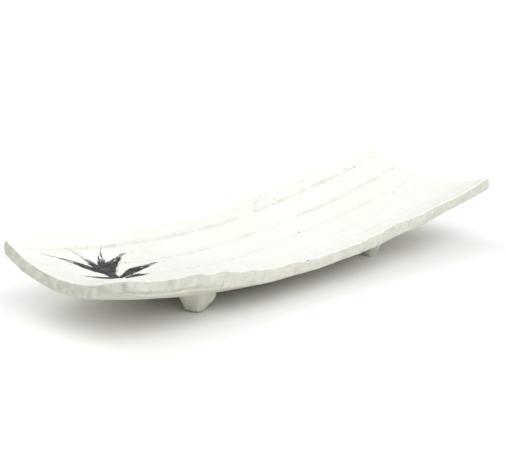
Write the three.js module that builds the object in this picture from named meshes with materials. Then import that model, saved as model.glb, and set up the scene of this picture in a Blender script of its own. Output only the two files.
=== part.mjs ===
// A long footed serving plate of white-glazed porcelain, hand-built from one rolled slab.
// The slab sags along its length, its long sides are raised like a shallow trough, combed
// lines run from end to end, and four pinched knob feet are luted to its underside.
// Millimetres, +Z up. X runs along the plate, -Y is its near long side, and Z = 0 is the table.
import * as THREE from "three";

// Driving dimensions of the slab.
const LENGTH = 300;
const WIDTH = 101;
const THICKNESS = 7;
// The roller left the slab thicker towards its left end and thinner in two places to the right.
const THICKNESS_SWELLS = [
  { x: -130, rise: 0.4, reach: 22 },
  { x: -88, rise: 0.6, reach: 22 },
  { x: 3, rise: -0.9, reach: 35 },
  { x: 108, rise: -0.7, reach: 22 },
];

// The sag along the length: the lowest station, and how far each end rises above it.
const LOWEST_X = -24;
const LEFT_RISE = 16.8;
const RIGHT_RISE = 23.7;
// How soon each rise turns from a parabola into a straight ramp.
const LEFT_STRAIGHTENING = 0.56;
const RIGHT_STRAIGHTENING = 1.7;

// The trough across the width: how far the long edges stand above the middle line.
const TROUGH_RISE = 12.6;
const TROUGH_FADE = 1.2;
// The hand-built slab is slightly wound, and leans a little towards its near side.
const TWIST = 2.2;
const LEAN = 1.2;

// Each short end is hollowed a little in plan, and each corner has its own radius.
const LEFT_END_HOLLOW = 1.9;
const RIGHT_END_HOLLOW = 4.5;
const CORNER_RADIUS = { nearLeft: 14, nearRight: 8.5, farLeft: 3.4, farRight: 3.4 };

// Soft arrises, and the slight belly of the wiped edge between them.
const TOP_ARRIS_RADIUS = 0.9;
const BOTTOM_ARRIS_RADIUS = 0.8;
const EDGE_BELLY = 0.35;
// The knife was drawn by hand, so the cut edge wavers in plan: two waves of it.
const EDGE_WAVES = [
  { height: 0.35, length: 61 },
  { height: 0.2, length: 27 },
];
// How sharply that waver dies away towards the middle of the plate.
const EDGE_WAVE_POWER = 12;
// Low on the near edge the wiped clay was folded under, which left a crease over a small bead.
const CREASE = { from: -150, to: -82, fade: 9, depth: 0.7, height: 1.3, reach: 0.5 };

// Swells and dips that fingers left along the rims: station, rise and half length.
const NEAR_RIM_SWELLS = [
  { x: -131, rise: -0.6, reach: 14 },
  { x: -103, rise: 2, reach: 11 },
  { x: -84, rise: 2.3, reach: 10 },
  { x: -66, rise: 1.2, reach: 11 },
  { x: -33, rise: 0.6, reach: 9 },
  { x: -10, rise: -0.6, reach: 13 },
  { x: 22, rise: -0.4, reach: 12 },
  { x: 58, rise: 1.4, reach: 12 },
  { x: 118, rise: -1.3, reach: 14 },
];
const FAR_RIM_SWELLS = [
  { x: -138, rise: 0.6, reach: 16 },
  { x: -105, rise: 1.4, reach: 18 },
  { x: -72, rise: 1.5, reach: 16 },
  { x: -42, rise: 0.7, reach: 14 },
  { x: -2, rise: -1, reach: 15 },
  { x: 30, rise: 1.4, reach: 14 },
  { x: 60, rise: 0.5, reach: 14 },
  { x: 90, rise: -0.7, reach: 14 },
  { x: 117, rise: -2.4, reach: 15 },
  { x: 142, rise: -1.8, reach: 12 },
];
// How sharply a rim swell dies away towards the middle of the plate.
const RIM_SWELL_POWER = 6;

// Combed lines: an even pitch across the plate, each a shallow furrow.
const FURROW_COUNT = 5;
const FURROW_PITCH = 17.2;
const FIRST_FURROW_Y = -27.8;
const FURROW_DEPTH = 0.65;
const FURROW_HALF_WIDTH = 0.8;
const FURROW_END_MARGIN = 5;
// The comb was drawn by hand, so a line wanders this far to either side of straight,
// and the pressure on it comes and goes.
const FURROW_WANDER = 0.9;
const WANDER_WAVELENGTH = 170;
const PRESSURE_SWING = 0.3;
const PRESSURE_WAVELENGTH = 83;

// Knob feet stand at the corners of a rectangle. Each is a cone of clay with a flat sole and a
// rounded heel, pinched square, that flares at its neck into the slab. The neck stands off the
// sole by its lean, to the right and towards the near side alike. No two feet are quite the same.
const FOOT_LEFT_X = -76.8;
const FOOT_RIGHT_X = 71;
const FOOT_Y = 20;
const FEET = {
  foot_near_left: {
    x: FOOT_LEFT_X, y: -FOOT_Y, sole: 3.2, heel: 3.6, neck: 9.3, flare: 10.6, corner: 73, lean: 0.8,
  },
  foot_far_left: {
    x: FOOT_LEFT_X, y: FOOT_Y, sole: 3.3, heel: 3.2, neck: 8.8, flare: 10.2, corner: 30, lean: -0.5,
  },
  foot_near_right: {
    x: FOOT_RIGHT_X, y: -FOOT_Y, sole: 2.3, heel: 1.4, neck: 6.5, flare: 9, corner: 55, lean: 0,
  },
  foot_far_right: {
    x: FOOT_RIGHT_X, y: FOOT_Y, sole: 2.6, heel: 1.6, neck: 6.9, flare: 9.3, corner: 12, lean: 0.4,
  },
};
// How square the pinch left them, and how far up the knob its neck lies.
const FOOT_SQUARENESS = 0.06;
const FOOT_NECK_SHARE = 0.8;
// The luting line between a foot and the slab.
const LUTING_GAP = 0.3;
// The middle of the underside stands this far above the table at the lowest station.
const BELLY_CLEARANCE = 5.5;

// Fineness of the surfaces.
const STATIONS = 50;
const ROW_SPACING = 6;
const CORNER_ROW_ANGLES = [12, 22, 32, 44, 58];
const ARRIS_STEPS = 3;
const HEEL_STEPS = 3;
const NECK_STEPS = 3;
const SEAT_RINGS = 3;
const FOOT_SIDES = 32;
const SLOPE_STEP = 0.05; // how far to either side a slope is measured

const HALF_LENGTH = LENGTH / 2;
const HALF_WIDTH = WIDTH / 2;
const DEGREE = Math.PI / 180;

const slabGlaze = new THREE.MeshStandardMaterial({ color: 0xf2f0e8, roughness: 0.35, metalness: 0 });
const footGlaze = new THREE.MeshStandardMaterial({ color: 0xe2dfd3, roughness: 0.5, metalness: 0 });

// Rises from 0 to 1 as t does: a parabola that straightens out as k grows.
function rampedParabola(t, k) {
  if (t <= 0) return 0;
  return k === 0 ? t * t : (Math.hypot(1, k * t) - 1) / (Math.hypot(1, k) - 1);
}

function swellAt(swells, x) {
  return swells.reduce((sum, s) => sum + s.rise * Math.exp(-(((x - s.x) / s.reach) ** 2)), 0);
}

function thicknessAt(x) {
  return THICKNESS + swellAt(THICKNESS_SWELLS, x);
}

// Height of the upper face above the table, before the combed lines are cut.
function upperFace(x, y) {
  const u = x / HALF_LENGTH;
  const v = y / HALF_WIDTH;
  const sag =
    RIGHT_RISE * rampedParabola((x - LOWEST_X) / (HALF_LENGTH - LOWEST_X), RIGHT_STRAIGHTENING) +
    LEFT_RISE * rampedParabola((LOWEST_X - x) / (HALF_LENGTH + LOWEST_X), LEFT_STRAIGHTENING);
  const trough = (TROUGH_RISE - TROUGH_FADE * u * u) * v * v;
  const rim =
    Math.max(0, -v) ** RIM_SWELL_POWER * swellAt(NEAR_RIM_SWELLS, x) +
    Math.max(0, v) ** RIM_SWELL_POWER * swellAt(FAR_RIM_SWELLS, x);
  return BELLY_CLEARANCE + thicknessAt(LOWEST_X) + sag + trough + rim + TWIST * u * v + LEAN * v;
}

// Which way the slab's depth runs at a point: square to the face, seen from the near side.
function depthDirection(x, y) {
  const slopeX = (upperFace(x + SLOPE_STEP, y) - upperFace(x - SLOPE_STEP, y)) / (2 * SLOPE_STEP);
  const slopeY = (upperFace(x, y + SLOPE_STEP) - upperFace(x, y - SLOPE_STEP)) / (2 * SLOPE_STEP);
  const run = Math.hypot(1, slopeX);
  // The slope across the plate thins the slab, so its depth along this line grows to match.
  const stretch = Math.hypot(run, slopeY) / run;
  return new THREE.Vector3(slopeX / run, 0, -1 / run).multiplyScalar(stretch);
}

function facePoint(x, y, depth) {
  return new THREE.Vector3(x, y, upperFace(x, y)).addScaledVector(depthDirection(x, y), depth);
}

// A point at a share of the way down through the slab.
function slabPoint(x, y, share) {
  return facePoint(x, y, share * thicknessAt(x));
}

// Height of the underside straight above a point of the table.
function undersideHeight(x, y) {
  let top = x;
  for (let i = 0; i < 4; i++) top += x - slabPoint(top, y, 1).x;
  return slabPoint(top, y, 1).z;
}

function cornerRadiusAt(side, end) {
  if (side < 0) return end < 0 ? CORNER_RADIUS.nearLeft : CORNER_RADIUS.nearRight;
  return end < 0 ? CORNER_RADIUS.farLeft : CORNER_RADIUS.farRight;
}

// How far the hand-cut edge strays from its true line, at a distance measured along it.
function edgeWaver(along) {
  return EDGE_WAVES.reduce(
    (sum, wave, i) => sum + wave.height * Math.sin((2 * Math.PI * along) / wave.length + i),
    0,
  );
}

// How far a row reaches towards one end, with the corner's arc and the end's hollow.
function reachTo(end, y, inset) {
  const side = Math.sign(y) || 1;
  const radius = cornerRadiusAt(side, end) - inset;
  const intoCorner = Math.abs(y) - (HALF_WIDTH - inset - radius);
  const arcLoss = intoCorner > 0 ? radius - Math.sqrt(Math.max(0, radius ** 2 - intoCorner ** 2)) : 0;
  const hollow = (end < 0 ? LEFT_END_HOLLOW : RIGHT_END_HOLLOW) * (1 - (y / HALF_WIDTH) ** 2);
  return end * (HALF_LENGTH - inset - arcLoss - hollow + edgeWaver(y));
}

const furrows = Array.from({ length: FURROW_COUNT }, (_, i) => FIRST_FURROW_Y + i * FURROW_PITCH);

// Rows run along the plate, at shares of its half width. Each furrow has a row on its floor and
// one on each shoulder, and closer rows near the long edges follow the corner arcs.
function rowShares() {
  const half = HALF_WIDTH - TOP_ARRIS_RADIUS;
  const combed = furrows.flatMap((y) => [y - FURROW_HALF_WIDTH, y, y + FURROW_HALF_WIDTH]);
  const largest = Math.max(...Object.values(CORNER_RADIUS));
  const nearCorner = CORNER_ROW_ANGLES.map((angle) => half - largest * (1 - Math.cos(angle * DEGREE)));
  const clear = (y) => combed.every((c) => Math.abs(c - y) > FURROW_HALF_WIDTH / 2);
  const plain = [...nearCorner, ...nearCorner.map((y) => -y)].filter(clear);
  const chosen = [-half, half, ...combed, ...plain].sort((a, b) => a - b);
  const rows = [];
  chosen.forEach((y, i) => {
    const gap = (chosen[i + 1] ?? y) - y;
    const parts = Math.max(1, Math.ceil(gap / ROW_SPACING));
    for (let k = 0; k < parts; k++) rows.push(y + (gap * k) / parts);
  });
  return rows.map((y) => y / half);
}

// The hand's sideways drift of the comb; it dies out at the long edges.
function wander(x, y) {
  const edgeFade = 1 - (y / HALF_WIDTH) ** 4;
  return FURROW_WANDER * edgeFade * Math.sin((2 * Math.PI * x) / WANDER_WAVELENGTH + y / FURROW_PITCH);
}

function furrowDepth(x, row) {
  const onFloor = furrows.some((y) => Math.abs(row - y) < FURROW_HALF_WIDTH / 2);
  if (!onFloor) return 0;
  const pressure = 1 + PRESSURE_SWING * Math.sin((2 * Math.PI * x) / PRESSURE_WAVELENGTH + row);
  const toEnd = HALF_LENGTH - FURROW_END_MARGIN - Math.abs(x);
  return FURROW_DEPTH * pressure * Math.min(1, Math.max(0, toEnd / FURROW_END_MARGIN));
}

// One level of the slab in plan, as rows of points: the outline drawn in by the inset.
function planRows(inset) {
  return rowShares().map((share) => {
    const y = share * (HALF_WIDTH - inset);
    const left = reachTo(-1, y, inset);
    const right = reachTo(1, y, inset);
    const edgeShare = share ** EDGE_WAVE_POWER;
    return Array.from({ length: STATIONS + 1 }, (_, i) => {
      const x = left + ((right - left) * i) / STATIONS;
      return { x, y: y + wander(x, y) + Math.sign(y) * edgeShare * edgeWaver(x), row: y };
    });
  });
}

// The outer loop of a grid of rows, in order round the plate.
function outerLoop(rows) {
  const sides = rows.slice(1, -1);
  return [
    ...rows[0],
    ...sides.map((row) => row[STATIONS]),
    ...[...rows[rows.length - 1]].reverse(),
    ...sides.map((row) => row[0]).reverse(),
  ];
}

// How far the crease cuts into the near edge, at a station and a depth below the upper face.
function creaseCut(x, y, depth) {
  if (y > -HALF_WIDTH / 2) return 0;
  const along = Math.min(1, (x - CREASE.from) / CREASE.fade, (CREASE.to - x) / CREASE.fade);
  const across = 1 - Math.abs(depth - (THICKNESS - CREASE.height)) / CREASE.reach;
  return CREASE.depth * Math.max(0, along) * Math.max(0, across);
}

// The edge's section, from the upper face round to the lower one: inset and depth of each step.
function edgeSection() {
  const quarter = (i) => (i / ARRIS_STEPS) * (Math.PI / 2);
  const steps = Array.from({ length: ARRIS_STEPS }, (_, i) => i);
  const topArris = steps.map((i) => ({
    inset: TOP_ARRIS_RADIUS * (1 - Math.sin(quarter(i + 1))),
    depth: TOP_ARRIS_RADIUS * (1 - Math.cos(quarter(i + 1))),
  }));
  const creaseDepth = THICKNESS - CREASE.height;
  const wall = [
    { inset: -EDGE_BELLY, depth: THICKNESS / 2 },
    { inset: -EDGE_BELLY / 2, depth: creaseDepth - CREASE.reach },
    { inset: 0, depth: creaseDepth },
  ];
  const bottomArris = steps.map((i) => ({
    inset: BOTTOM_ARRIS_RADIUS * (1 - Math.cos(quarter(i))),
    depth: THICKNESS - BOTTOM_ARRIS_RADIUS * (1 - Math.sin(quarter(i))),
  }));
  return [...topArris, ...wall, ...bottomArris];
}

function meshFrom(name, points, triangles, material) {
  const geometry = new THREE.BufferGeometry().setFromPoints(points);
  geometry.setIndex(triangles.flat());
  geometry.computeVertexNormals();
  const mesh = new THREE.Mesh(geometry, material);
  mesh.name = name;
  return mesh;
}

// A strip of triangles between two closed loops of the same count, given as indices.
function band(upper, lower) {
  return upper.flatMap((_, i) => {
    const next = (i + 1) % upper.length;
    return [
      [upper[i], lower[i], lower[next]],
      [upper[i], lower[next], upper[next]],
    ];
  });
}

// Triangles over a grid of indices, facing up, or down if flipped.
function gridTriangles(rows, flip) {
  const triangles = [];
  for (let r = 0; r < rows.length - 1; r++) {
    for (let s = 0; s < STATIONS; s++) {
      const [a, b, c, d] = [rows[r][s], rows[r][s + 1], rows[r + 1][s + 1], rows[r + 1][s]];
      triangles.push(flip ? [a, c, b] : [a, b, c], flip ? [a, d, c] : [a, c, d]);
    }
  }
  return triangles;
}

function buildSlab() {
  const points = [];
  const keep = (point) => points.push(point) - 1;
  const upper = planRows(TOP_ARRIS_RADIUS).map((row) =>
    row.map((p) => keep(facePoint(p.x, p.y, furrowDepth(p.x, p.row)))),
  );
  const lower = planRows(BOTTOM_ARRIS_RADIUS).map((row) => row.map((p) => keep(slabPoint(p.x, p.y, 1))));
  const loops = edgeSection().map(({ inset, depth }) =>
    outerLoop(planRows(inset)).map((p) =>
      keep(slabPoint(p.x, p.y + creaseCut(p.x, p.y, depth), depth / THICKNESS)),
    ),
  );
  const edge = [outerLoop(upper), ...loops, outerLoop(lower)];
  const triangles = [...gridTriangles(upper, false), ...gridTriangles(lower, true)];
  edge.slice(1).forEach((loop, i) => triangles.push(...band(edge[i], loop)));
  return meshFrom("plate_slab", points, triangles, slabGlaze);
}

// The rings of a knob from its sole up: a rounded heel, a cone, and a flare into the slab.
// Lift is a height in its own right, and share is a share of the height of the seat.
function knobRings({ sole, heel, neck, flare }) {
  const rings = [];
  for (let i = 0; i <= HEEL_STEPS; i++) {
    const turn = (i / HEEL_STEPS) * (Math.PI / 2);
    rings.push({ lift: heel * (1 - Math.cos(turn)), share: 0, radius: sole + heel * Math.sin(turn) });
  }
  const coneStart = sole + heel;
  for (let i = 1; i <= NECK_STEPS; i++) {
    const climb = i / NECK_STEPS;
    rings.push({
      lift: heel * (1 - climb),
      share: FOOT_NECK_SHARE * climb,
      radius: coneStart + (neck - coneStart) * climb,
    });
  }
  rings.push({ lift: 0, share: (1 + FOOT_NECK_SHARE) / 2, radius: neck + (flare - neck) * 0.3 });
  rings.push({ lift: 0, share: 1, radius: flare });
  return rings;
}

function buildFoot(name, foot) {
  const points = [];
  const keep = (point) => points.push(point) - 1;
  const seatAt = (x, y) => undersideHeight(x, y) - LUTING_GAP;
  const turns = Array.from({ length: FOOT_SIDES }, (_, i) => (2 * Math.PI * i) / FOOT_SIDES);
  const ringLoop = ({ lift, share, radius }) =>
    turns.map((turn) => {
      const pinched = radius * (1 + FOOT_SQUARENESS * Math.cos(4 * (turn - foot.corner * DEGREE)));
      const x = foot.x + foot.lean * share + pinched * Math.cos(turn);
      const y = foot.y - foot.lean * share + pinched * Math.sin(turn);
      return keep(new THREE.Vector3(x, y, lift + share * seatAt(x, y)));
    });
  const loops = knobRings(foot).map(ringLoop);
  // The seat is closed by rings that follow the underside.
  for (let i = SEAT_RINGS - 1; i > 0; i--) {
    loops.push(ringLoop({ lift: 0, share: 1, radius: (foot.flare * i) / SEAT_RINGS }));
  }
  const [seatX, seatY] = [foot.x + foot.lean, foot.y - foot.lean];
  const seatCentre = keep(new THREE.Vector3(seatX, seatY, seatAt(seatX, seatY)));
  const soleCentre = keep(new THREE.Vector3(foot.x, foot.y, 0));
  const triangles = [];
  loops.slice(1).forEach((loop, i) => triangles.push(...band(loop, loops[i])));
  turns.forEach((_, i) => {
    const next = (i + 1) % FOOT_SIDES;
    triangles.push([seatCentre, loops[loops.length - 1][i], loops[loops.length - 1][next]]);
    triangles.push([soleCentre, loops[0][next], loops[0][i]]);
  });
  return meshFrom(name, points, triangles, footGlaze);
}

const plate = new THREE.Group();
plate.add(buildSlab());
for (const [name, foot] of Object.entries(FEET)) plate.add(buildFoot(name, foot));

export default plate;
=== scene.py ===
import math
from functools import lru_cache

import bpy
import numpy as np
from mathutils import Matrix, Vector


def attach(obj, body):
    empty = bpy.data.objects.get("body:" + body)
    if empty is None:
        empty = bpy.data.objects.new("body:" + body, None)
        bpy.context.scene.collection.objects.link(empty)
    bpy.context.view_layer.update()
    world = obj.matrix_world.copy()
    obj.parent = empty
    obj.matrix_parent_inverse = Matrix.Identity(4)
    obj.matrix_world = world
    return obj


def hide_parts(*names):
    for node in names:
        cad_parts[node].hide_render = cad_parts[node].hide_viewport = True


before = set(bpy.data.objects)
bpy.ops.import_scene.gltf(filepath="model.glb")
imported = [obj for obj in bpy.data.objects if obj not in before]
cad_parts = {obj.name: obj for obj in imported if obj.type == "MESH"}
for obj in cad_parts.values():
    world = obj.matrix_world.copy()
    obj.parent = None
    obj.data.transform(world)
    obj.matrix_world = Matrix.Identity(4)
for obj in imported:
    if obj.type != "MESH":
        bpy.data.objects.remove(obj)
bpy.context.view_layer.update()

# The plate is worked out in millimetres, in the frame's own axes, and turned into metres
# where a mesh or a material is made.
MM = 0.001

# The slab, with the same driving dimensions as its solid.
LENGTH = 300
WIDTH = 101
THICKNESS = 7
BELLY_CLEARANCE = 5.5
LOWEST_X = -24
LEFT_RISE = 16.8
RIGHT_RISE = 23.7
LEFT_STRAIGHTENING = 0.56
RIGHT_STRAIGHTENING = 1.7
TROUGH_RISE = 12.6
TROUGH_FADE = 1.2
TWIST = 2.2
LEAN = 1.2
LEFT_END_HOLLOW = 1.9
RIGHT_END_HOLLOW = 4.5
# Corner radii, by side (-1 near, 1 far) and end (-1 left, 1 right).
CORNER_RADIUS = {(-1, -1): 14, (-1, 1): 8.5, (1, -1): 3.4, (1, 1): 3.4}
TOP_ARRIS_RADIUS = 0.9
BOTTOM_ARRIS_RADIUS = 0.8
EDGE_BELLY = 0.35
# Slow waver of the cut edge: height and length of each wave.
EDGE_WAVES = [(0.35, 61), (0.2, 27)]
EDGE_WAVE_POWER = 12

# Swells along the slab: station, rise and half length.
THICKNESS_SWELLS = [(-130, 0.4, 22), (-88, 0.6, 22), (3, -0.9, 35), (108, -0.7, 22)]
NEAR_RIM_SWELLS = [
    (-131, -0.6, 14), (-103, 2, 11), (-84, 2.3, 10), (-66, 1.2, 11), (-33, 0.6, 9),
    (-10, -0.6, 13), (22, -0.4, 12), (58, 1.4, 12), (118, -1.3, 14),
]
FAR_RIM_SWELLS = [
    (-138, 0.6, 16), (-105, 1.4, 18), (-72, 1.5, 16), (-42, 0.7, 14), (-2, -1, 15),
    (30, 1.4, 14), (60, 0.5, 14), (90, -0.7, 14), (117, -2.4, 15), (142, -1.8, 12),
]
RIM_SWELL_POWER = 6

# Combed furrows, from the near side to the far one, and how firmly the comb bit in each.
FIRST_FURROW_Y = -27.8
FURROW_PITCH = 17.2
FURROW_FIRMNESS = [-0.15, 0, 0.17, 0.3, 0.42]
FURROWS = [FIRST_FURROW_Y + FURROW_PITCH * i for i in range(len(FURROW_FIRMNESS))]
FURROW_DEPTH = 0.6
FURROW_HALF_WIDTH = 0.9
# A furrow's section is a parabola that reaches this many half widths to either side.
FURROW_REACH = 1.2
# How far from the plate's ends a furrow stops, and over what length it runs out before that.
FURROW_END_MARGIN = 5
FURROW_RUN_OUT = 6
# Where along the plate the comb was pressed harder: station, gain and half length.
COMB_SWELLS = [(-66, 0.1, 25), (60, 0.45, 12), (86, 0.22, 13), (116, 0.12, 9)]
# No furrow gets deeper than this many times its depth, however hard the comb was pressed.
HARDEST_BITE = 1.1
# The tint in and beside a furrow, partly glaze pooled there and partly painted shade, reaches this far,
# and is this strong.
TINT_HALF_WIDTH = 1.5
TINT_SHARE = 0.62
# The comb's slow drift to either side, which dies out at the long edges.
FURROW_WANDER = 0.9
WANDER_WAVELENGTH = 170
WANDER_FADE_POWER = 4
# The burr beside a furrow: its height, and its place and half width in the furrow's half widths.
BURR_HEIGHT = 0.06
BURR_OFFSET = 1.5
BURR_HALF_WIDTH = 0.45

# Hand marks. The knife left facets: how far they stray, how long one is, how unevenly they are
# spaced as a share of that, and how far their corners are worn, worked out in so many steps. The
# power keeps the rims' facets close to the edge.
OUTLINE_FACET = 0.45
OUTLINE_FACET_LENGTH = 9
RIM_FACET = 0.4
RIM_FACET_LENGTH = 8
RIM_FACET_POWER = 14
FACET_UNEVENNESS = 0.25
FACET_WEAR = 1.6
FACET_WEAR_STEPS = 5
# Small nibbles all along the cut edge: how far they stray, how long one is, and how far their
# pattern drifts between the top of the wall and its foot.
EDGE_NIBBLE = 0.2
EDGE_NIBBLE_LENGTH = 2.6
NIBBLE_DRIFT = 2
# Seeds of the long rims' facets and nibbles, and of the cut edges by end and by side. The facets
# at the foot of a wall take the next seed.
NEAR_RIM_SEEDS = (51, 53)
FAR_RIM_SEEDS = (52, 54)
END_SEED = {-1: 59, 1: 63}
SIDE_SEED = {-1: 69, 1: 73}

# Unevenness is a list of noises, each with its amplitude, cell size and seed. All of the slab has
# the first list, its walls have the second besides, and the others are for what their names say.
SURFACE_SCALES = [(0.15, 24, 11), (0.07, 7, 12), (0.03, 2.4, 13)]
WALL_SCALES = [(0.22, 9, 21), (0.14, 3, 22), (0.06, 1.3, 23)]
CRAWL_SCALES = [(0.3, 1.7, 24)]
FOOT_SCALES = [(0.22, 4, 41)]
COMB_PRESSURE_SCALES = [(0.3, 22, 6), (0.25, 7, 7), (0.2, 2.5, 9)]
COMB_DRIFT_SCALES = [(0.4, 13, 5), (0.14, 3.5, 8)]
# How far apart two neighbouring furrows lie in the comb's noises, so that they differ.
PRESSURE_SPACING = 40
DRIFT_SPACING = 7

# The fold low on the near wall: where it starts and ends, over what length its ends fade, its
# depth, its height above the wall's foot and its half height. Its line strays and it frays.
FOLD = dict(start=-150, end=-82, fade=9, depth=0.7, height=1.3, half_height=0.5)
FOLD_LINE_SCALES = [(0.25, 9, 33)]
FOLD_FIRMNESS = 0.8
FOLD_FIRMNESS_SCALES = [(0.3, 6, 34)]
# How strong the painted shade in the fold is.
FOLD_PAINTED_SHADE = 0.5

# Nicks in the wall: where on the outline, half width, depth and how far down the middle lies.
NICKS = [
    dict(at=(-145.1, -47.5), half_width=1.3, depth=0.7, down=3.2),
    dict(at=(-148.2, 10.7), half_width=1.3, depth=0.5, down=3.4),
    dict(at=(-119, -50.5), half_width=2.4, depth=0.3, down=2),
]
NICK_HALF_HEIGHT = 2.4
# How much painted shade a nick gets for each millimetre of its depth.
NICK_PAINTED_SHADE = 1.4

# Patches near the far rim where the glaze crawled: centre, half length, half width and how badly.
CRAWLED = [
    (34, 46, 20, 4.5, 0.9), (101, 35, 12, 4, 0.4), (72, 45, 14, 3.5, 0.5), (-20, 44, 14, 3, 0.3),
]

# The far rim's own tint reaches this far in from the edge.
RIM_TINT_REACH = 3
# The power by which the walls' marks fade in below the upper arris and out above the lower one.
WALL_FADE_POWER = 0.5

# Mesh fineness. Across a furrow the rows stand at these half widths to either side of its middle,
# and the plain rows keep clear of it.
COLUMN_STEP = 0.8
ROW_STEP = 1.15
CORNER_ROWS = 16
FURROW_ROWS = [0.15, 0.5, 0.85, 1.2, 1.6]
PLAIN_ROW_CLEARANCE = 2
ARRIS_STEPS = 5
WALL_STEPS = 12
# The span over which a slope is measured, and how many steps it takes to find the underside.
SLOPE_SPAN = 0.1
UNDERSIDE_STEPS = 4

# Feet, with the same places and sizes as their solids, but for the near right one. A foot has a
# flat sole, a rounded heel above it, and a neck that flares out to the slab, all given as radii,
# with one of its four soft corners in the direction given, and its top leans over to the right and
# the near side. The marks are where a thumb pinched the clay, or pushed it out where the depth is
# below 0: direction in degrees, height, half width and depth. The ridge is where two pinched flats
# meet: direction in degrees and how far it stands out. The near right foot leans most: its neck is
# where its solid's is, but its sole lies nearer the plate's middle and is a little wider.
FOOT_LEFT_X = -76.8
FOOT_RIGHT_X = 71
FOOT_Y = 20
MOST_LEAN = 2
FEET = {
    "foot_near_left": dict(
        at=(FOOT_LEFT_X, -FOOT_Y), sole=3.2, heel=3.6, neck=9.3, flare=10.6, corner=73, lean=0.8,
        marks=[(205, 5.5, 2.6, 0.5), (316, 5.8, 2.8, -1.7)], ridge=(236, 0.9),
    ),
    "foot_far_left": dict(
        at=(FOOT_LEFT_X, FOOT_Y), sole=3.3, heel=3.2, neck=8.8, flare=10.2, corner=30, lean=-0.5,
        marks=[(80, 6, 3, 0.6)], ridge=(110, 0.7),
    ),
    "foot_near_right": dict(
        at=(FOOT_RIGHT_X - MOST_LEAN, MOST_LEAN - FOOT_Y),
        sole=3, heel=1.4, neck=6.7, flare=9, corner=55, lean=MOST_LEAN,
        marks=[(150, 7, 3, 0.4)], ridge=(268, 0.5),
    ),
    "foot_far_right": dict(
        at=(FOOT_RIGHT_X, FOOT_Y), sole=2.6, heel=1.6, neck=6.9, flare=9.3, corner=12, lean=0.4,
        marks=[(120, 8, 3, 0.5)], ridge=(60, 0.6),
    ),
}
FOOT_SQUARENESS = 0.06
RIDGE_HALF_ANGLE = math.radians(38)
FOOT_NECK_SHARE = 0.8
FOOT_FLARE_POWER = 1.8
FOOT_SIDES = 96
FOOT_RINGS = 34
HEEL_RINGS = 7
# How far the last ring stands inside the slab, and how high the sole's smooth part reaches.
FOOT_SINK = 3
SMOOTH_SOLE = 0.5

# The photograph's camera: aim, bearing, height angle, distance, and lens for a 506 pixel frame.
PHOTO_WIDTH_PX = 506
SENSOR_WIDTH = 36
FOCAL_PX = 1148.6
CAMERA_AIM = (8.8, 24.6, 20)
CAMERA_BEARING = math.radians(44)
CAMERA_ELEVATION = math.radians(15.68)
CAMERA_ROLL = math.radians(0.39)
CAMERA_DISTANCE = 699.8
# Nearest and farthest that the camera sees, in metres.
CLIP_START = 0.01
CLIP_END = 50

# The noise's lattice repeats after this many cells.
LATTICE_SIZE = 256


@lru_cache(maxsize=None)
def noise_lattice(seed):
    return np.random.default_rng(seed).uniform(-1, 1, (LATTICE_SIZE, LATTICE_SIZE))


def smooth_step(t):
    return t * t * (3 - 2 * t)


def value_noise(x, y, cell, seed):
    """Smooth noise from -1 to 1, with bumps about one cell across."""
    lattice = noise_lattice(seed)
    column = np.floor(x / cell).astype(int)
    row = np.floor(y / cell).astype(int)
    across = smooth_step(x / cell - column)
    along = smooth_step(y / cell - row)
    column, next_column = column % LATTICE_SIZE, (column + 1) % LATTICE_SIZE
    row, next_row = row % LATTICE_SIZE, (row + 1) % LATTICE_SIZE
    low = lattice[column, row] * (1 - across) + lattice[next_column, row] * across
    high = lattice[column, next_row] * (1 - across) + lattice[next_column, next_row] * across
    return low * (1 - along) + high * along


def unevenness(x, y, scales):
    """The sum of a list of noises."""
    return sum(amplitude * value_noise(x, y, cell, seed) for amplitude, cell, seed in scales)


def facets(along, length, seed):
    """Straight cuts of uneven length joined end to end with worn corners, straying from -1 to 1."""
    random = np.random.default_rng(seed)
    stations = np.arange(-LENGTH, LENGTH, length)
    jitter = random.uniform(-FACET_UNEVENNESS, FACET_UNEVENNESS, len(stations))
    stations = stations + jitter * length
    strays = random.uniform(-1, 1, len(stations))
    worn = np.linspace(-FACET_WEAR, FACET_WEAR, FACET_WEAR_STEPS)
    return sum(np.interp(along + shift, stations, strays) for shift in worn) / len(worn)


def ramped_parabola(t, k):
    """Rises from 0 to 1 as t does, and straightens out as k grows."""
    return (np.hypot(1, k * np.maximum(t, 0)) - 1) / (math.hypot(1, k) - 1)


def swell_at(swells, x):
    return sum(rise * np.exp(-(((x - at) / reach) ** 2)) for at, rise, reach in swells)


def thickness_at(x):
    return THICKNESS + swell_at(THICKNESS_SWELLS, x)


def rim_height(x, nearness, swells, seeds):
    """What one long rim adds to the upper face: its swells, the knife's facets and small nibbles."""
    facet_seed, nibble_seed = seeds
    cut = RIM_FACET * facets(x, RIM_FACET_LENGTH, facet_seed)
    cut = cut + EDGE_NIBBLE * value_noise(x, 0 * x, EDGE_NIBBLE_LENGTH, nibble_seed)
    return nearness**RIM_SWELL_POWER * swell_at(swells, x) + nearness**RIM_FACET_POWER * cut


def upper_face(x, y):
    """Height of the upper face, without its furrows."""
    u, v = x / (LENGTH / 2), y / (WIDTH / 2)
    to_right = (x - LOWEST_X) / (LENGTH / 2 - LOWEST_X)
    to_left = (LOWEST_X - x) / (LENGTH / 2 + LOWEST_X)
    sag = RIGHT_RISE * ramped_parabola(to_right, RIGHT_STRAIGHTENING)
    sag = sag + LEFT_RISE * ramped_parabola(to_left, LEFT_STRAIGHTENING)
    trough = (TROUGH_RISE - TROUGH_FADE * u * u) * v * v
    rims = rim_height(x, np.maximum(0, -v), NEAR_RIM_SWELLS, NEAR_RIM_SEEDS)
    rims = rims + rim_height(x, np.maximum(0, v), FAR_RIM_SWELLS, FAR_RIM_SEEDS)
    return BELLY_CLEARANCE + thickness_at(LOWEST_X) + sag + trough + rims + TWIST * u * v + LEAN * v


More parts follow.
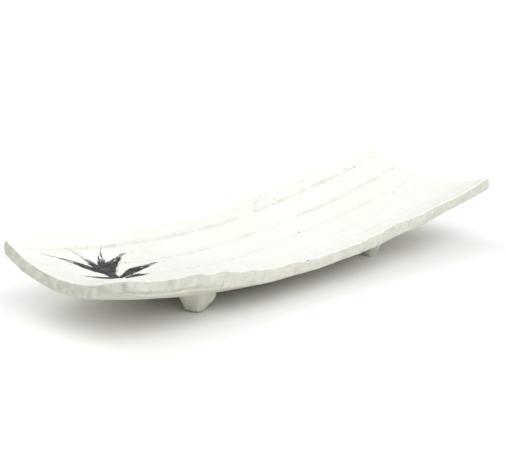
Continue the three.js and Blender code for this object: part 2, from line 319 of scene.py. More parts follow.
def face_points(x, y, depth):
    """Points that lie depth below the upper face, as an array of x, y, z."""
    half = SLOPE_SPAN / 2
    slope_x = (upper_face(x + half, y) - upper_face(x - half, y)) / SLOPE_SPAN
    slope_y = (upper_face(x, y + half) - upper_face(x, y - half)) / SLOPE_SPAN
    run = np.hypot(1, slope_x)
    reach = depth * np.hypot(run, slope_y) / run
    return np.stack([x + reach * slope_x / run, y + 0 * x, upper_face(x, y) - reach / run], -1)


def slab_points(x, y, share):
    """Points at a share of the way down through the slab."""
    return face_points(x, y, share * thickness_at(x))


def underside_height(x, y):
    """Height of the lower face, found by closing in on the place above it on the upper face."""
    top = x
    for _ in range(UNDERSIDE_STEPS):
        top = top + x - slab_points(top, y, 1)[..., 0]
    return slab_points(top, y, 1)[..., 2]


def edge_waver(along):
    """How far the hand-cut edge strays from its true line, at a distance measured along it."""
    waver = 0
    for phase, (height, length) in enumerate(EDGE_WAVES):
        waver = waver + height * np.sin(2 * math.pi * along / length + phase)
    return waver


def edge_facet(along, level, seed):
    """The knife's facets, which differ between the top of the wall (level 0) and its foot (1)."""
    top = facets(along, OUTLINE_FACET_LENGTH, seed)
    foot = facets(along, OUTLINE_FACET_LENGTH, seed + 1)
    down = NIBBLE_DRIFT * level + 0 * along
    nibble = value_noise(along + seed, down, EDGE_NIBBLE_LENGTH, seed)
    return OUTLINE_FACET * (top * (1 - level) + foot * level) + EDGE_NIBBLE * nibble


def reach_to(end, y, inset, level):
    """How far the row at y reaches towards one end, inside the corner's arc and the end's hollow."""
    radius = CORNER_RADIUS[1 if y > 0 else -1, end] - inset
    into_corner = max(0, abs(y) - (WIDTH / 2 - inset - radius))
    arc = radius - math.sqrt(max(0, radius**2 - into_corner**2))
    hollow = (LEFT_END_HOLLOW if end < 0 else RIGHT_END_HOLLOW) * (1 - (y / (WIDTH / 2)) ** 2)
    stray = edge_waver(y) + edge_facet(y, level, END_SEED[end])
    return end * (LENGTH / 2 - inset - arc - hollow + stray)


def row_positions():
    """Rows along the plate, closer together in the corner arcs and across each furrow."""
    half = WIDTH / 2 - TOP_ARRIS_RADIUS
    radius = max(CORNER_RADIUS.values())
    corner = half - radius * (1 - np.cos(np.linspace(0, math.pi / 2, CORNER_ROWS)))
    middle = half - radius
    plain = np.linspace(-middle, middle, round(2 * middle / ROW_STEP))
    beside = FURROW_HALF_WIDTH * np.array(FURROW_ROWS)
    combed = np.concatenate([np.concatenate([at - beside, at + beside]) for at in FURROWS])
    to_furrow = np.min(np.abs(plain[:, None] - np.array(FURROWS)), 1)
    clear = to_furrow > PLAIN_ROW_CLEARANCE * FURROW_HALF_WIDTH
    rows = np.concatenate([corner, -corner, plain[clear], combed])
    return np.unique(np.round(rows[np.abs(rows) <= half], 3))


# The slab's mesh: how far across the plate each of its rows lies, and its faces along a row.
ROWS = row_positions()
COLUMNS = round(LENGTH / COLUMN_STEP)


def comb_drift(x, y):
    """The comb's drift to either side, slow and quick, which dies out at the long edges."""
    fade = 1 - (y / (WIDTH / 2)) ** WANDER_FADE_POWER
    slow = np.sin(2 * math.pi * x / WANDER_WAVELENGTH + y / FURROW_PITCH)
    lane = DRIFT_SPACING * np.round(y / FURROW_PITCH) + 0 * x
    return FURROW_WANDER * fade * (slow + unevenness(x, lane, COMB_DRIFT_SCALES))


def plan_of(inset, level):
    """One level of the slab in plan: the outline drawn in by the inset, as rows of x and of y."""
    half = WIDTH / 2 - TOP_ARRIS_RADIUS
    xs, ys = [], []
    for share in ROWS / half:
        y = share * (WIDTH / 2 - inset)
        side = 1 if y > 0 else -1
        x = np.linspace(reach_to(-1, y, inset, level), reach_to(1, y, inset, level), COLUMNS + 1)
        stray = edge_waver(x) + edge_facet(x, level, SIDE_SEED[side])
        xs.append(x)
        ys.append(y + comb_drift(x, y) + side * share**EDGE_WAVE_POWER * stray)
    return np.array(xs), np.array(ys)


def furrow_shares(x):
    """For each row, how deep the comb bit there, and how much tint, of pooled glaze and painted shade,
    lies there, from 0 to 1.
    """
    to_furrows = np.abs(ROWS[:, None] - np.array(FURROWS))
    nearest = np.argmin(to_furrows, 1)
    distance = np.min(to_furrows, 1)
    section = np.maximum(0, 1 - (distance / (FURROW_REACH * FURROW_HALF_WIDTH)) ** 2)
    tint = TINT_SHARE * np.exp(-((distance / TINT_HALF_WIDTH) ** 2))
    lane = PRESSURE_SPACING * nearest[:, None] + 0 * x
    pressure = np.array(FURROW_FIRMNESS)[nearest][:, None] + swell_at(COMB_SWELLS, x)
    pressure = pressure + unevenness(x, lane, COMB_PRESSURE_SCALES)
    to_end = LENGTH / 2 - FURROW_END_MARGIN - np.abs(x)
    bite = np.clip(pressure, 0, HARDEST_BITE) * np.clip(to_end / FURROW_RUN_OUT, 0, 1)
    return section[:, None] * bite, tint[:, None] * bite


def burr_share():
    """For each row, the ridge of clay that a furrow pushes up on both its sides."""
    distance = np.min(np.abs(ROWS[:, None] - np.array(FURROWS)), 1) / FURROW_HALF_WIDTH
    return np.exp(-(((distance - BURR_OFFSET) / BURR_HALF_WIDTH) ** 2))


def crawl_share(x, y):
    """1 in the middle of a patch of crawled glaze, 0 outside them all."""
    shares = [
        badly * np.exp(-(((x - at_x) / half_length) ** 2) - ((y - at_y) / half_width) ** 2)
        for at_x, at_y, half_length, half_width, badly in CRAWLED
    ]
    return np.clip(sum(shares), 0, 1)


def edge_section():
    """The edge from the upper face to the lower one: inset and depth of each ring."""
    section = []
    for i in range(1, ARRIS_STEPS + 1):
        turn = i / ARRIS_STEPS * math.pi / 2
        inset = TOP_ARRIS_RADIUS * (1 - math.sin(turn))
        section.append((inset, TOP_ARRIS_RADIUS * (1 - math.cos(turn))))
    wall_foot = THICKNESS - BOTTOM_ARRIS_RADIUS
    for i in range(1, WALL_STEPS):
        share = i / WALL_STEPS
        belly = EDGE_BELLY * math.sin(math.pi * share)
        section.append((-belly, TOP_ARRIS_RADIUS + share * (wall_foot - TOP_ARRIS_RADIUS)))
    for i in range(ARRIS_STEPS):
        turn = i / ARRIS_STEPS * math.pi / 2
        inset = BOTTOM_ARRIS_RADIUS * (1 - math.cos(turn))
        section.append((inset, wall_foot + BOTTOM_ARRIS_RADIUS * math.sin(turn)))
    return section


def fold_cut(x, y, depth):
    """How far the fold low on the near wall is cut in, at a depth below the upper face."""
    middle = THICKNESS - FOLD["height"] + unevenness(x, 0 * x, FOLD_LINE_SCALES)
    started = np.clip((x - FOLD["start"]) / FOLD["fade"], 0, 1)
    unfinished = np.clip((FOLD["end"] - x) / FOLD["fade"], 0, 1)
    across = np.exp(-(((depth - middle) / FOLD["half_height"]) ** 2))
    firmness = FOLD_FIRMNESS + unevenness(x, 0 * x, FOLD_FIRMNESS_SCALES)
    on_near_wall = y < -WIDTH / 4
    return np.where(on_near_wall, FOLD["depth"] * started * unfinished * across * firmness, 0)


def nick_share(x, y, z, nick):
    """1 in the middle of a nick, 0 away from it."""
    at_x, at_y = nick["at"]
    beside = np.exp(-((x - at_x) ** 2 + (y - at_y) ** 2) / nick["half_width"] ** 2)
    above_middle = z - upper_face(at_x, at_y) + nick["down"]
    return beside * np.exp(-((above_middle / NICK_HALF_HEIGHT) ** 2))


def mesh_object(name, points, faces, material, attributes=None):
    """A smooth mesh from points in millimetres, with a number for each point and attribute."""
    mesh = bpy.data.meshes.new(name)
    mesh.from_pydata((np.asarray(points) * MM).tolist(), [], faces)
    mesh.polygons.foreach_set("use_smooth", [True] * len(mesh.polygons))
    for key, values in (attributes or {}).items():
        layer = mesh.attributes.new(key, "FLOAT", "POINT")
        layer.data.foreach_set("value", np.asarray(values, np.float32))
    mesh.materials.append(material)
    mesh.update()
    made = bpy.data.objects.new(name, mesh)
    bpy.context.scene.collection.objects.link(made)
    return made


def roughen(made, wall, crawl):
    """Moves each point along its normal by the hand marks of its kind of surface."""
    mesh = made.data
    places = np.zeros(len(mesh.vertices) * 3)
    normals = np.zeros(len(mesh.vertices) * 3)
    mesh.vertices.foreach_get("co", places)
    mesh.vertex_normals.foreach_get("vector", normals)
    places = places.reshape(-1, 3) / MM
    normals = normals.reshape(-1, 3)
    x, y, z = places.T
    shift = unevenness(x, y + z, SURFACE_SCALES)
    shift = shift + wall * unevenness(x + y, z, WALL_SCALES)
    for nick in NICKS:
        shift = shift - wall * nick["depth"] * nick_share(x, y, z, nick)
    shift = shift - crawl * np.maximum(0, unevenness(x, y, CRAWL_SCALES))
    places += normals * shift[:, None]
    mesh.vertices.foreach_set("co", (places * MM).ravel())
    mesh.update()


def loop_of(grid):
    """The outer loop of a grid, in order round the plate."""
    return np.concatenate([grid[0], grid[1:-1, -1], grid[-1, ::-1], grid[-2:0:-1, 0]])


def grid_faces(grid):
    """The faces between a grid's points, turned upwards."""
    corners = [grid[:-1, :-1], grid[:-1, 1:], grid[1:, 1:], grid[1:, :-1]]
    return np.stack(corners, -1).reshape(-1, 4)


def build_slab(material):
    x, y = plan_of(TOP_ARRIS_RADIUS, 0)
    cut, tint = furrow_shares(x)
    upper = face_points(x, y, FURROW_DEPTH * cut - BURR_HEIGHT * burr_share()[:, None])
    lower = slab_points(*plan_of(BOTTOM_ARRIS_RADIUS, 1), 1)
    upper_index = np.arange(x.size).reshape(x.shape)
    lower_index = upper_index + x.size

    # How far each point belongs to the wall, to the upper face and to the fold, from 0 to 1.
    none = np.zeros(x.size)
    full = np.ones(x.size)
    wall, top, fold = [none, none], [full, none], [none, none]
    points = [upper.reshape(-1, 3), lower.reshape(-1, 3)]
    loops = [loop_of(upper_index)]
    total = 2 * x.size
    for inset, depth in edge_section():
        level = depth / THICKNESS
        ring_x, ring_y = (loop_of(grid) for grid in plan_of(inset, level))
        cut_in = fold_cut(ring_x, ring_y, depth)
        ring = slab_points(ring_x, ring_y + cut_in, level)
        points.append(ring)
        fold.append(cut_in / FOLD["depth"])
        wall.append(np.full(len(ring), math.sin(math.pi * level) ** WALL_FADE_POWER))
        top.append(np.full(len(ring), max(0, 1 - depth / TOP_ARRIS_RADIUS)))
        loops.append(total + np.arange(len(ring)))
        total += len(ring)
    loops.append(loop_of(lower_index))

    faces = grid_faces(upper_index).tolist()
    faces += grid_faces(lower_index)[:, ::-1].tolist()
    for high, low in zip(loops, loops[1:]):
        faces += np.stack([high, low, np.roll(low, -1), np.roll(high, -1)], -1).tolist()

    points, wall, top, fold = (np.concatenate(part) for part in (points, wall, top, fold))
    furrow = np.zeros(len(points))
    furrow[: x.size] = tint.ravel()
    under = np.zeros(len(points))
    under[x.size : 2 * x.size] = 1
    crawl = top * crawl_share(points[:, 0], points[:, 1])
    rim = np.clip(1 - (WIDTH / 2 - points[:, 1]) / RIM_TINT_REACH, 0, 1)
    # Painted shade in the fold and the nicks, which goes to the glaze as an attribute.
    painted_shade = FOLD_PAINTED_SHADE * fold
    for nick in NICKS:
        darkness = min(1, NICK_PAINTED_SHADE * nick["depth"])
        painted_shade = painted_shade + wall * darkness * nick_share(*points.T, nick)
    attributes = dict(furrow=furrow, top=top, crawl=crawl, rim=rim, under=under, painted_shade=painted_shade)
    made = mesh_object("slab", points, faces, material, attributes)
    roughen(made, wall, crawl)
    return made


def foot_profile(sole, heel, neck, flare):
    """The rings of a knob from its sole up: lift in millimetres, share of the seat's height, radius."""
    rings = []
    for i in range(HEEL_RINGS):
        turn = i / (HEEL_RINGS - 1) * math.pi / 2
        rings.append((heel * (1 - math.cos(turn)), 0, sole + heel * math.sin(turn)))
    for i in range(1, FOOT_RINGS + 1):
        share = i / FOOT_RINGS
        climb = min(1, share / FOOT_NECK_SHARE)
        spread = max(0, (share - FOOT_NECK_SHARE) / (1 - FOOT_NECK_SHARE)) ** FOOT_FLARE_POWER
        radius = sole + heel + (neck - sole - heel) * climb + (flare - neck) * spread
        rings.append((heel * (1 - climb), share, radius))
    return rings


def turned_from(turn, degrees):
    """Angles measured from a direction given in degrees, from -pi to pi."""
    return (turn - math.radians(degrees) + math.pi) % (2 * math.pi) - math.pi


def build_foot(node, material, at, corner, lean, marks, ridge, **radii):
    """A pinched knob that takes a foot's place, from a flat sole up into the slab."""
    turn = np.linspace(0, 2 * math.pi, FOOT_SIDES, endpoint=False)
    square = 1 + FOOT_SQUARENESS * np.cos(4 * (turn - math.radians(corner)))
    ridge_at, ridge_height = ridge
    off_ridge = np.abs(turned_from(turn, ridge_at)) / RIDGE_HALF_ANGLE
    crest = ridge_height * np.maximum(0, 1 - off_ridge)
    rings = foot_profile(**radii)
    points = []
    for lift, share, radius in rings:
        middle_x = at[0] + lean * share
        middle_y = at[1] - lean * share
        seat = underside_height(middle_x + radius * np.cos(turn), middle_y + radius * np.sin(turn))
        z = lift + share * seat
        thumb = 0
        for towards, height, half_width, depth in marks:
            aside = radius * turned_from(turn, towards)
            off_mark = (aside / half_width) ** 2 + ((z - height) / half_width) ** 2
            thumb = thumb + depth * np.exp(-off_mark)
        uneven = unevenness(at[0] + radius * turn, z, FOOT_SCALES) * np.clip(z - SMOOTH_SOLE, 0, 1)
        reach = radius * square - thumb + uneven + crest * np.clip(radius / radii["neck"], 0, 1)
        x = middle_x + reach * np.cos(turn)
        y = middle_y + reach * np.sin(turn)
        seat = underside_height(x, y) + (FOOT_SINK if share == 1 else 0)
        points.append(np.stack([x, y, lift + share * seat], -1))
    index = np.arange(len(rings) * FOOT_SIDES).reshape(len(rings), FOOT_SIDES)
    faces = [index[0, ::-1].tolist(), index[-1].tolist()]
    for below, above in zip(index, index[1:]):
        faces += np.stack([below, np.roll(below, -1), np.roll(above, -1), above], -1).tolist()
    made = mesh_object(node + "_knob", np.concatenate(points), faces, material)
    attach(made, "root")
    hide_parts(node)


class Nodes:
    """A node tree, with short ways to add and join its nodes."""

    def __init__(self, tree):
        self.tree = tree

    def add(self, kind, **settings):
        node = self.tree.nodes.new("ShaderNode" + kind)
        for key, value in settings.items():
            setattr(node, key, value)
        return node

    def feed(self, socket, value):
        """Joins a socket to another node's output, or sets it to a constant."""
        if hasattr(value, "is_output"):
            self.tree.links.new(value, socket)
        else:
            socket.default_value = value

    def math(self, operation, *values):
        node = self.add("Math", operation=operation)
        for socket, value in zip(node.inputs, values):
            self.feed(socket, value)
        return node.outputs[0]

    def times(self, *factors):
        product = factors[0]
        for factor in factors[1:]:
            product = self.math("MULTIPLY", product, factor)
        return product

    def ramp(self, value, low, high, to_low=0, to_high=1):
        """A smooth step from to_low, where the value is low, to to_high, where it is high."""
        node = self.add("MapRange", interpolation_type="SMOOTHSTEP")
        for socket, given in zip(node.inputs, (value, low, high, to_low, to_high)):
            self.feed(socket, given)
        return node.outputs[0]

    def ramp_mm(self, value, low, high, *shares):
        """A ramp over a distance given in millimetres."""
        return self.ramp(value, low * MM, high * MM, *shares)

    def blend(self, share, first, second):
        """A mix of two colours, which a mix node takes at inputs 6 and 7 and gives at output 2."""
        node = self.add("Mix", data_type="RGBA")
        self.feed(node.inputs[0], share)
        for socket, colour in ((node.inputs[6], first), (node.inputs[7], second)):
            self.feed(socket, colour if hasattr(colour, "is_output") else (*colour, 1))
        return node.outputs[2]

    def noise(self, vector, scale, detail, roughness):
        node = self.add("TexNoise")
        self.feed(node.inputs["Vector"], vector)
        node.inputs["Scale"].default_value = scale
        node.inputs["Detail"].default_value = detail
        node.inputs["Roughness"].default_value = roughness
        return node.outputs["Fac"]

    def split(self, vector):
        node = self.add("SeparateXYZ")
        self.feed(node.inputs[0], vector)
        return node.outputs


class Look(Nodes):
    """A material that is built up step by step: its colour, roughness and bumps so far."""

    def __init__(self, name, colour):
        self.material = bpy.data.materials.new(name)
        self.material.use_nodes = True
        super().__init__(self.material.node_tree)
        self.place = self.add("TexCoord").outputs["Object"]
        self.colour = colour
        self.roughness = None
        self.height = None

    def attribute(self, name):
        return self.add("Attribute", attribute_name=name).outputs["Fac"]

    def pattern(self, noise, ramp):
        """A share that follows a noise through a ramp."""
        return self.ramp(self.noise(self.place, *noise), *ramp)

    def tint(self, share, colour):
        self.colour = self.blend(share, self.colour, colour)

    def sink(self, *factors):
        """Lowers the bumps by the product of the factors."""
        self.height = self.math("SUBTRACT", self.height, self.times(*factors))

    def spots(self, per_metre, share, size):
        """A mask of small round spots: one in so many cells of a lattice holds one."""
        cells = self.add("TexVoronoi", feature="F1")
        self.feed(cells.inputs["Vector"], self.place)
        cells.inputs["Scale"].default_value = per_metre
        colour = self.add("SeparateColor")
        self.feed(colour.inputs[0], cells.outputs["Color"])
        chosen = self.math("LESS_THAN", colour.outputs[0], share)
        return self.times(chosen, self.ramp(cells.outputs["Distance"], size, SPOT_CORE * size))

    def dot(self, x, y, radius):
        """A mask of one round dot, seen from above."""
        flat = self.add("VectorMath", operation="MULTIPLY")
        self.feed(flat.inputs[0], self.place)
        flat.inputs[1].default_value = (1, 1, 0)
        distance = self.add("VectorMath", operation="DISTANCE")
        self.feed(distance.inputs[0], flat.outputs[0])
        distance.inputs[1].default_value = (x * MM, y * MM, 0)
        return self.ramp_mm(distance.outputs["Value"], radius, DOT_CORE * radius)

    def finish(self, specular):
        """Joins what was built up to the shader."""
        shader = self.tree.nodes["Principled BSDF"]
        self.feed(shader.inputs["Base Color"], self.colour)
        self.feed(shader.inputs["Roughness"], self.roughness)
        shader.inputs["IOR"].default_value = REFRACTION
        shader.inputs["Specular IOR Level"].default_value = specular
        if self.height is not None:
            bump = self.add("Bump")
            bump.inputs["Strength"].default_value = BUMP_STRENGTH
            bump.inputs["Distance"].default_value = BUMP_HEIGHT * MM
            self.feed(bump.inputs["Height"], self.height)
            self.feed(shader.inputs["Normal"], bump.outputs[0])
        return self.material


# Colours, as linear red, green and blue.
GLAZE_WHITE = (0.75, 0.747, 0.715)
# Painted light: the whiter colour laid on the upper face towards the near rim and the left end.
GLAZE_PAINTED_LIGHT = (0.84, 0.84, 0.80)
GLAZE_CREAM = (0.72, 0.715, 0.66)
GLAZE_COOL = (0.71, 0.725, 0.695)
GLAZE_RIM = (0.69, 0.71, 0.60)
GLAZE_PIT = (0.42, 0.42, 0.36)
# The walls' colours are darker than the glaze on the upper face, as painted shade; their patches and
# blotches are the glaze's own.
WALL_WARM = (0.635, 0.617, 0.547)
WALL_GREEN = (0.563, 0.577, 0.507)
WALL_DARK = (0.45, 0.45, 0.385)
# Painted shade on the wall at the left end.
WALL_END_PAINTED_SHADE = (0.42, 0.415, 0.36)
# Painted shade in the fold and the nicks.
DENT_PAINTED_SHADE = (0.24, 0.24, 0.18)
FOOT_WARM = (0.73, 0.715, 0.615)
FOOT_GREEN = (0.665, 0.665, 0.54)
# Darker in patches towards the feet's soles.
SOLE_DARK = (0.25, 0.25, 0.21)
UNDERSIDE_WARM = (0.60, 0.575, 0.48)
IRON_BLACK = (0.022, 0.022, 0.025)
IRON_GREY = (0.11, 0.11, 0.115)
SPECK_BROWN = (0.08, 0.07, 0.05)

# Noises in the glaze: bumps to a metre, detail and roughness. The bristles' are bumps to a
# millimetre across a brush stroke.
CLOUDS = (22, 4, 0.55)
MOTTLE = (210, 3, 0.6)
GRAIN = (620, 3, 0.6)
WALL_PATCHES = (130, 2, 0.5)
WALL_BLOTCHES = (280, 3, 0.6)
FURROW_PATCHES = (420, 3, 0.6)
CRAWL_HOLES = (620, 3, 0.65)
INK_SHADES = (260, 4, 0.7)
FOOT_PATCHES = (160, 2, 0.5)
SOLE_DARK_PATCHES = (300, 3, 0.6)
BRISTLES = (1.3, 4, 0.62)

# Ramps over a noise, or over how far a point belongs to the upper face: the two values that each
# runs between, and what it gives at them where that isn't 0 and 1.
CREAM_RAMP = (0.35, 0.7, 0, 0.8)
COOL_RAMP = (0.5, 0.7, 0, 0.5)
ROUGHNESS_RAMP = (0.3, 0.8, 0.4, 0.55)
# How the painted light on the upper face breaks up over the mottle.
PAINTED_LIGHT_MOTTLE_RAMP = (0.45, 0.7, 0, 0.4)
WALL_PATCH_RAMP = (0.36, 0.64)
WALL_BLOTCH_RAMP = (0.42, 0.75, 0, 0.6)
WALL_END_RAMP = (0.3, 0.7, 0.25, 1)
FURROW_PATCH_RAMP = (0.38, 0.6, 0.45, 1)
CRAWL_HOLE_RAMP = (0.54, 0.64)
SPECK_ARRIS_RAMP = (0, 0.3)
SPECK_GRAIN_RAMP = (0.2, 0.5, 0.6)
INK_ARRIS_RAMP = (0.4, 0.9)
INK_SHADE_RAMP = (0.4, 0.7)
FOOT_PATCH_RAMP = (0.4, 0.62)
FOOT_WEAR_RAMP = (0.35, 0.6, 0.95, 0.5)
SOLE_DARK_RAMP = (0.46, 0.62)

# Ramps over a place in millimetres, in the same form. The upper face is painted whiter towards the
# near rim and the left end, as painted light where those faces catch less of it; the walls are greener
# towards the left end and painted darker on it, as painted shade; and the feet are darker in patches
# near their soles, which fades out upwards.
PAINTED_LIGHT_NEAR_RAMP = (20, -45)
PAINTED_LIGHT_LEFT_RAMP = (-60, -110, 0, 0.8)
GREEN_WALL_RAMP = (-50, -110, 0.55, 1)
END_SHADE_RAMP = (-135, -150)
SOLE_DARK_HEIGHT_RAMP = (5, 1.5)

# Pinholes: lattice cells to a metre, the share of them that holds one, and its size in cells.
PINHOLES = (300, 0.07, 0.16)
# A spot or a dot has its full strength inside this share of its radius.
SPOT_CORE = 0.55
DOT_CORE = 0.5
# How strongly each of these tints what it lies on.
PINHOLE_TINT = 0.4
RIM_TINT = 0.6
CRAWL_TINT = 0.9
SOLE_DARK_TINT = 0.6
# How much each adds to the bumps, or takes from them, and how strong and high the bumps are.
MOTTLE_HEIGHT = 0.4
GRAIN_HEIGHT = 0.3
PINHOLE_DEPTH = 0.5
BUMP_STRENGTH = 0.4
BUMP_HEIGHT = 0.3
# The glaze's gloss, and how much rougher the painting is.
REFRACTION = 1.5
GLAZE_SPECULAR = 0.35
INK_ROUGHNESS = 0.25

# Iron specks that show in the glaze: place and radius.
SPECKS = [
    (32.6, 8.6, 0.75), (114.8, 2.5, 0.6), (119.2, 40.7, 0.65), (112.1, 42.5, 0.5),
    (75.5, 47.5, 0.5), (-90.1, 23.5, 0.5), (-22, -50.35, 0.9),
]

# The painted tuft of grass: each blade's root, tip, bow and width, and how dry the brush ran.
BLADES = [
    ((-112, 4), (-140, 38), -6, 8, 0.53),
    ((-114, 6), (-118, 44), -4, 6.8, 0.52),
    ((-110, 6), (-91, 43), 4, 8, 0.54),
    ((-112, 5), (-66, 36), 8, 8.4, 0.56),
    ((-108, 3), (-50, 19), 6, 7, 0.58),
    ((-110, 2), (-137, 13), 4, 6, 0.54),
    ((-106, 1), (-76, 4), 3, 5.4, 0.57),
]
# A brush stroke, in shares of its length from its root: where it starts and ends, the ramps by
# which it widens and narrows, and the one by which it dries out, up to the blade's own dryness.
STROKE_START = -0.06
STROKE_END = 1.03
WIDENING_RAMP = (-0.08, 0.3, 0.35)
NARROWING_RAMP = (STROKE_END, 0.35)
DRYING_RAMP = (0.05, 0.85, 0.26)
LEAST_HALF_WIDTH = 0.01
# The streaks are so many times as long as they are wide, and a stroke is drier at its edges. The
# last ramp runs from bare glaze to ink, over how far the bristles' noise exceeds the dryness.
BRISTLE_STRETCH = 14
EDGE_DRYNESS = 0.35
EDGE_DRYNESS_POWER = 3
STREAK_RAMP = (-0.02, 0.03)


def brush_stroke(look, root, tip, bow, width, dryness):
    """A brush stroke, loaded at its root and breaking into bristle streaks towards its tip."""
    run_x, run_y = tip[0] - root[0], tip[1] - root[1]
    length = math.hypot(run_x, run_y)
    turned = look.add("Mapping", vector_type="TEXTURE")
    look.feed(turned.inputs["Vector"], look.place)
    turned.inputs["Location"].default_value = (root[0] * MM, root[1] * MM, 0)
    turned.inputs["Rotation"].default_value = (0, 0, math.atan2(run_y, run_x))
    turned.inputs["Scale"].default_value = (length * MM, MM, 1)
    share, across, _ = look.split(turned.outputs[0])
    bowed = look.times(share, look.math("SUBTRACT", 1, share), 4 * bow)
    offset = look.math("SUBTRACT", across, bowed)
    press = look.times(look.ramp(share, *WIDENING_RAMP), look.ramp(share, *NARROWING_RAMP))
    half_width = look.math("MAXIMUM", look.times(press, width / 2), LEAST_HALF_WIDTH)
    to_edge = look.math("DIVIDE", look.math("ABSOLUTE", offset), half_width)
    streaks = look.add("CombineXYZ")
    look.feed(streaks.inputs[0], look.times(share, length / BRISTLE_STRETCH))
    look.feed(streaks.inputs[1], offset)
    bristles = look.noise(streaks.outputs[0], *BRISTLES)
    dry = look.ramp(share, *DRYING_RAMP, dryness)
    dry_edge = look.times(look.math("POWER", to_edge, EDGE_DRYNESS_POWER), EDGE_DRYNESS)
    surplus = look.math("SUBTRACT", bristles, look.math("ADD", dry, dry_edge))
    started = look.math("GREATER_THAN", share, STROKE_START)
    unfinished = look.math("LESS_THAN", share, STROKE_END)
    return look.times(look.ramp(surplus, *STREAK_RAMP), started, unfinished)


class Glaze(Look):
    """What both glazes have in common: clouds of cream, a cool mottle, grain and pinholes."""

    def __init__(self, name):
        super().__init__(name, GLAZE_WHITE)
        self.mottle = self.noise(self.place, *MOTTLE)
        self.grain = self.noise(self.place, *GRAIN)
        self.tint(self.pattern(CLOUDS, CREAM_RAMP), GLAZE_CREAM)
        self.tint(self.ramp(self.mottle, *COOL_RAMP), GLAZE_COOL)
        pinholes = self.spots(*PINHOLES)
        self.tint(self.times(pinholes, PINHOLE_TINT), GLAZE_PIT)
        coarse = self.times(self.mottle, MOTTLE_HEIGHT)
        self.height = self.math("ADD", coarse, self.times(self.grain, GRAIN_HEIGHT))
        self.sink(pinholes, PINHOLE_DEPTH)
        self.roughness = self.ramp(self.grain, *ROUGHNESS_RAMP)


def paint_light_on_top(look, x, y):
    """Painted light: the upper face is painted whiter towards the near rim and the left end, where
    those faces catch less light.
    """
    near = look.ramp_mm(y, *PAINTED_LIGHT_NEAR_RAMP)
    left = look.ramp_mm(x, *PAINTED_LIGHT_LEFT_RAMP)
    white = look.ramp(look.mottle, *PAINTED_LIGHT_MOTTLE_RAMP)
    look.tint(look.math("MAXIMUM", near, left), look.blend(white, GLAZE_PAINTED_LIGHT, GLAZE_WHITE))


def wall_colour_and_painted_shade(look, x):
    """The walls, painted darker than the upper face as painted shade, with warm and greenish patches
    and darker blotches of their own, and more painted shade on the left end.
    """
    patches = look.pattern(WALL_PATCHES, WALL_PATCH_RAMP)
    green = look.times(patches, look.ramp_mm(x, *GREEN_WALL_RAMP))
    colour = look.blend(green, WALL_WARM, WALL_GREEN)
    colour = look.blend(look.pattern(WALL_BLOTCHES, WALL_BLOTCH_RAMP), colour, WALL_DARK)
    # Painted shade on the left end's wall.
    shade = look.times(look.ramp_mm(x, *END_SHADE_RAMP), look.ramp(look.mottle, *WALL_END_RAMP))
    return look.blend(shade, colour, WALL_END_PAINTED_SHADE)


def add_crawl(look):
    """Dark holes where the glaze crawled."""
    holes = look.times(look.attribute("crawl"), look.pattern(CRAWL_HOLES, CRAWL_HOLE_RAMP))
    look.tint(look.times(holes, CRAWL_TINT), GLAZE_PIT)
    look.sink(holes)


def add_specks(look, top):
    """The iron specks, on the upper face and its arris."""
    specks = 0
    for speck in SPECKS:
        specks = look.math("MAXIMUM", specks, look.dot(*speck))
    in_glaze = look.ramp(look.grain, *SPECK_GRAIN_RAMP)
    look.tint(look.times(specks, look.ramp(top, *SPECK_ARRIS_RAMP), in_glaze), SPECK_BROWN)


def paint_tuft(look, top):
    """The painted tuft, which is a little rougher than the glaze."""
    ink = 0
    for blade in BLADES:
        ink = look.math("MAXIMUM", ink, brush_stroke(look, *blade))
    ink = look.times(ink, look.ramp(top, *INK_ARRIS_RAMP))
    look.tint(ink, look.blend(look.pattern(INK_SHADES, INK_SHADE_RAMP), IRON_BLACK, IRON_GREY))
    look.roughness = look.math("ADD", look.roughness, look.times(ink, INK_ROUGHNESS))


def make_slab_glaze():
    look = Glaze("slab_glaze")
    top = look.attribute("top")
    x, y, _ = look.split(look.place)
    # Painted light on the upper face, towards the near rim and the left end.
    paint_light_on_top(look, x, y)
    # The walls take the wall colours, which hold painted shade.
    look.colour = look.blend(top, wall_colour_and_painted_shade(look, x), look.colour)
    # Painted shade in the fold and the nicks.
    look.tint(look.attribute("painted_shade"), DENT_PAINTED_SHADE)
    look.tint(look.attribute("under"), UNDERSIDE_WARM)
    look.tint(look.times(look.attribute("rim"), top, RIM_TINT), GLAZE_RIM)
    # Pooled glaze and painted shade along the furrows, broken into patches.
    broken = look.pattern(FURROW_PATCHES, FURROW_PATCH_RAMP)
    look.tint(look.times(look.attribute("furrow"), broken), GLAZE_PIT)
    add_crawl(look)
    add_specks(look, top)
    paint_tuft(look, top)
    return look.finish(GLAZE_SPECULAR)


def make_foot_glaze():
    look = Glaze("foot_glaze")
    worn = look.blend(look.pattern(FOOT_PATCHES, FOOT_PATCH_RAMP), FOOT_WARM, FOOT_GREEN)
    look.tint(look.ramp(look.mottle, *FOOT_WEAR_RAMP), worn)
    # The feet are darker in patches towards their soles, fading out upwards.
    near_sole = look.ramp_mm(look.split(look.place)[2], *SOLE_DARK_HEIGHT_RAMP)
    sole_patches = look.pattern(SOLE_DARK_PATCHES, SOLE_DARK_RAMP)
    look.tint(look.times(near_sole, sole_patches, SOLE_DARK_TINT), SOLE_DARK)
    return look.finish(GLAZE_SPECULAR)


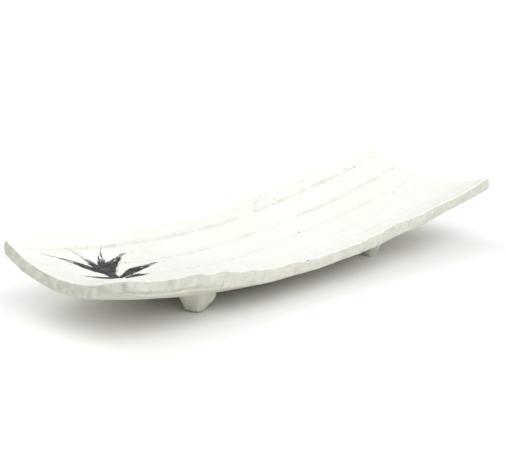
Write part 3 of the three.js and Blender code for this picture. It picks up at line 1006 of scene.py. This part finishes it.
def set_up_camera():
    forward = Vector((
        math.sin(CAMERA_BEARING) * math.cos(CAMERA_ELEVATION),
        math.cos(CAMERA_BEARING) * math.cos(CAMERA_ELEVATION),
        -math.sin(CAMERA_ELEVATION),
    ))
    level_right = Vector((math.cos(CAMERA_BEARING), -math.sin(CAMERA_BEARING), 0))
    level_up = level_right.cross(forward)
    right = level_right * math.cos(CAMERA_ROLL) + level_up * math.sin(CAMERA_ROLL)
    up = level_up * math.cos(CAMERA_ROLL) - level_right * math.sin(CAMERA_ROLL)
    data = bpy.data.cameras.new("camera")
    data.sensor_width = SENSOR_WIDTH
    data.sensor_fit = "HORIZONTAL"
    data.lens = FOCAL_PX * SENSOR_WIDTH / PHOTO_WIDTH_PX
    data.clip_start = CLIP_START
    data.clip_end = CLIP_END
    camera = bpy.data.objects.new("camera", data)
    bpy.context.scene.collection.objects.link(camera)
    turn = Matrix((right, up, -forward)).transposed().to_4x4()
    place = (Vector(CAMERA_AIM) - forward * CAMERA_DISTANCE) * MM
    camera.matrix_world = Matrix.Translation(place) @ turn
    bpy.context.scene.camera = camera


# The floor is a sheet of white paper, in metres, with the faintest clouds.
FLOOR_SIZE = 30
FLOOR_WHITE = (0.88, 0.88, 0.88)
FLOOR_SHADE = (0.86, 0.86, 0.86)
FLOOR_CLOUDS = (3, 2, 0.5)
FLOOR_CLOUD_RAMP = (0.3, 0.7, 0, 0.03)
FLOOR_ROUGHNESS = 0.9
FLOOR_SPECULAR = 0.2


def set_up_floor():
    look = Look("floor", FLOOR_WHITE)
    look.roughness = FLOOR_ROUGHNESS
    look.tint(look.pattern(FLOOR_CLOUDS, FLOOR_CLOUD_RAMP), FLOOR_SHADE)
    half = FLOOR_SIZE / 2 / MM
    corners = [(-half, -half, 0), (half, -half, 0), (half, half, 0), (-half, half, 0)]
    floor = mesh_object("floor", corners, [[0, 1, 2, 3]], look.finish(FLOOR_SPECULAR))


# The studio's light: soft boxes all round and overhead, each with the direction that it lies in,
# how tight it is and its strength.
LIGHT_LOBES = [
    ((-0.49, -0.51, 0.71), 12, 2.2),
    ((0.08, -0.76, 0.64), 12, 4.0),
    ((-0.84, 0.13, 0.53), 12, 2.4),
    ((-0.12, 0.63, 0.77), 12, 3.2),
    ((0.64, -0.1, 0.77), 12, 1.9),
]


def set_up_light():
    """A white world that is as bright as its soft boxes, and seen at full white by the camera."""
    world = bpy.data.worlds.new("studio")
    world.use_nodes = True
    nodes = Nodes(world.node_tree)
    direction = nodes.add("TexCoord").outputs["Generated"]
    strength = 0
    for towards, tightness, power in LIGHT_LOBES:
        facing = nodes.add("VectorMath", operation="DOT_PRODUCT")
        nodes.feed(facing.inputs[0], direction)
        nodes.feed(facing.inputs[1], Vector(towards).normalized())
        lobe = nodes.math("POWER", nodes.math("MAXIMUM", facing.outputs["Value"], 0), tightness)
        strength = nodes.math("MULTIPLY_ADD", lobe, power, strength)
    seen = nodes.add("LightPath").outputs["Is Camera Ray"]
    background = nodes.tree.nodes["Background"]
    background.inputs["Color"].default_value = (1, 1, 1, 1)
    nodes.feed(background.inputs["Strength"], nodes.math("MAXIMUM", strength, seen))
    bpy.context.scene.world = world
    bpy.context.scene.view_settings.view_transform = "Standard"


set_up_camera()
set_up_floor()
set_up_light()

slab = build_slab(make_slab_glaze())
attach(slab, "root")
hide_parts("plate_slab")

foot_glaze = make_foot_glaze()
for node, form in FEET.items():
    build_foot(node, foot_glaze, **form)
